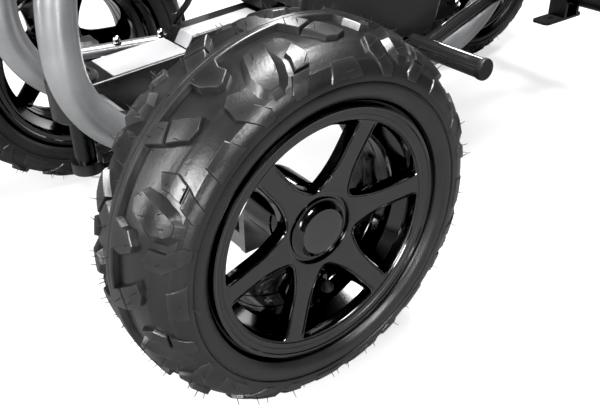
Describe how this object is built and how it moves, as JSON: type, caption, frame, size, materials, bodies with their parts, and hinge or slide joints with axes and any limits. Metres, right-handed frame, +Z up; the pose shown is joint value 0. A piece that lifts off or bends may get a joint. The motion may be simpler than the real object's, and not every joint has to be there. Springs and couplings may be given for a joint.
{
  "type": "knee scooter",
  "caption": "All-terrain knee scooter with knobby tyres, steered front wheels, folding height-adjustable column, padded knee rest and a hand brake.",
  "frame": {"origin": "middle of the length and width, on the ground plane under the tyres", "axes": "+X forward, +Y to the left, +Z up"},
  "size_m": [1.042, 0.5996, 0.9879],
  "materials": {
    "silver_frame": "satin",
    "black_frame": "gloss",
    "wheel_plastic": "satin",
    "cap_plastic": "gloss",
    "tyre": "matte",
    "matte_black": "matte",
    "moulded_grey": "satin",
    "steel": "brushed",
    "chrome": "polished",
    "cast_silver": "satin",
    "plate_grey": "matte",
    "pad_vinyl": "satin",
    "board_wood": "matte",
    "rubber": "matte"
  },
  "bodies": {
    "frame": {"rail_left": "silver_frame", "rail_right": "silver_frame", "head_crown": "silver_frame", "head_bearings": "steel", "spine_beam": "black_frame", "blank_plates": "plate_grey", "frame_small_tubes": "silver_frame", "front_axle_beam": "black_frame", "kingpins": "steel", "body_shell": "moulded_grey", "rear_cross_bar": "black_frame", "bar_end_caps": "matte_black", "rear_stays": "black_frame", "rear_axle_beam": "black_frame", "rear_axle": "steel", "fender_left": "matte_black", "fender_right": "matte_black", "frame_bolts": "chrome", "brake_cable_lower": "rubber", "brake_caliper": "cast_silver", "pad_clamp": "black_frame"},
    "steering": {"steering_shaft": "black_frame", "fold_pin": "steel"},
    "fold_lever": {"fold_lever": "cast_silver"},
    "column": {"column_tube": "silver_frame"},
    "height_lever": {"height_lever": "cast_silver"},
    "stem": {"stem_tube": "chrome", "handlebar": "black_frame", "bar_clamp": "black_frame", "grips": "rubber", "brake_perch": "matte_black", "brake_cable_upper": "rubber"},
    "brake_lever": {"brake_lever": "cast_silver"},
    "park_button": {"park_button": "chrome"},
    "knuckle_left": {"knuckle_left": "cast_silver"},
    "knuckle_right": {"knuckle_right": "cast_silver"},
    "tie_rod_left": {"tie_rod_left": "steel"},
    "tie_rod_right": {"tie_rod_right": "steel"},
    "caliper_arm": {"caliper_arm": "cast_silver"},
    "pad": {"pad_frame": "steel", "pad_board": "board_wood", "knee_pad": "pad_vinyl"},
    "pad_clamp_lever": {"pad_clamp_lever": "cast_silver"},
    "wheel_front_left": {"tyre_front_left": "tyre", "rim_front_left": "wheel_plastic", "hub_cap_front_left": "cap_plastic", "bearings_front_left": "steel"},
    "wheel_front_right": {"tyre_front_right": "tyre", "rim_front_right": "wheel_plastic", "hub_cap_front_right": "cap_plastic", "bearings_front_right": "steel"},
    "wheel_rear_left": {"tyre_rear_left": "tyre", "rim_rear_left": "wheel_plastic", "hub_cap_rear_left": "cap_plastic", "bearings_rear_left": "steel", "brake_disc": "steel"},
    "wheel_rear_right": {"tyre_rear_right": "tyre", "rim_rear_right": "wheel_plastic", "hub_cap_rear_right": "cap_plastic", "bearings_rear_right": "steel"}
  },
  "joints": [
    {"name": "steer", "type": "hinge", "parent": "frame", "child": "steering", "pos_m": [0.4375, 0, 0.3], "axis": [0, 0, 1], "range_deg": [-28, 28]},
    {"name": "knuckle_left_turn", "type": "hinge", "parent": "frame", "child": "knuckle_left", "pos_m": [0.3575, 0.165, 0.1635], "axis": [0, 0, 1], "range_deg": [-28, 28]},
    {"name": "knuckle_right_turn", "type": "hinge", "parent": "frame", "child": "knuckle_right", "pos_m": [0.3575, -0.165, 0.1635], "axis": [0, 0, 1], "range_deg": [-28, 28]},
    {"name": "tie_rod_left_pivot", "type": "hinge", "parent": "steering", "child": "tie_rod_left", "pos_m": [0.3825, 0, 0.1095], "axis": [0, 0, 1], "range_deg": [-28, 28]},
    {"name": "tie_rod_right_pivot", "type": "hinge", "parent": "steering", "child": "tie_rod_right", "pos_m": [0.3825, 0, 0.1175], "axis": [0, 0, 1], "range_deg": [-28, 28]},
    {"name": "column_fold", "type": "hinge", "parent": "steering", "child": "column", "pos_m": [0.4375, 0, 0.485], "axis": [0, -1, 0], "range_deg": [0, 64]},
    {"name": "fold_lever_turn", "type": "hinge", "parent": "steering", "child": "fold_lever", "pos_m": [0.4375, 0.034, 0.485], "axis": [0, -1, 0], "range_deg": [0, 120]},
    {"name": "stem_slide", "type": "slide", "parent": "column", "child": "stem", "axis": [-0.1392, 0, 0.9903], "range_m": [0, 0.1]},
    {"name": "height_lever_turn", "type": "hinge", "parent": "column", "child": "height_lever", "pos_m": [0.356, -0.018, 0.7775], "axis": [-0.1392, 0, 0.9903], "range_deg": [-100, 0]},
    {"name": "brake_squeeze", "type": "hinge", "parent": "stem", "child": "brake_lever", "pos_m": [0.39478, 0.158, 0.96798], "axis": [0, 0, 1], "range_deg": [0, 10], "stiffness_Nm_per_rad": 2},
    {"name": "caliper_arm_turn", "type": "hinge", "parent": "frame", "child": "caliper_arm", "pos_m": [-0.3575, 0.134, 0.2255], "axis": [0, 1, 0], "range_deg": [0, 15]},
    {"name": "park_button_press", "type": "slide", "parent": "stem", "child": "park_button", "axis": [0, 0, -1], "range_m": [0, 0.003], "stiffness_N_per_m": 300},
    {"name": "pad_height", "type": "slide", "parent": "frame", "child": "pad", "axis": [0, 0, 1], "range_m": [-0.05, 0]},
    {"name": "pad_lever_turn", "type": "hinge", "parent": "frame", "child": "pad_clamp_lever", "pos_m": [-0.1215, 0, 0.388], "axis": [0, 0, 1], "range_deg": [0, 100]},
    {"name": "spin_front_left", "type": "hinge", "parent": "knuckle_left", "child": "wheel_front_left", "pos_m": [0.3575, 0.2425, 0.1635], "axis": [0, 1, 0], "continuous": true},
    {"name": "spin_front_right", "type": "hinge", "parent": "knuckle_right", "child": "wheel_front_right", "pos_m": [0.3575, -0.2425, 0.1635], "axis": [0, 1, 0], "continuous": true},
    {"name": "spin_rear_left", "type": "hinge", "parent": "frame", "child": "wheel_rear_left", "pos_m": [-0.3575, 0.215, 0.1635], "axis": [0, 1, 0], "continuous": true},
    {"name": "spin_rear_right", "type": "hinge", "parent": "frame", "child": "wheel_rear_right", "pos_m": [-0.3575, -0.215, 0.1635], "axis": [0, 1, 0], "continuous": true}
  ],
  "couplings": [
    {"joint": "knuckle_left_turn", "follows": "steer", "ratio": 1},
    {"joint": "knuckle_right_turn", "follows": "steer", "ratio": 1},
    {"joint": "tie_rod_left_pivot", "follows": "steer", "ratio": -1},
    {"joint": "tie_rod_right_pivot", "follows": "steer", "ratio": -1},
    {"joint": "caliper_arm_turn", "follows": "brake_squeeze", "ratio": 1.5}
  ]
}
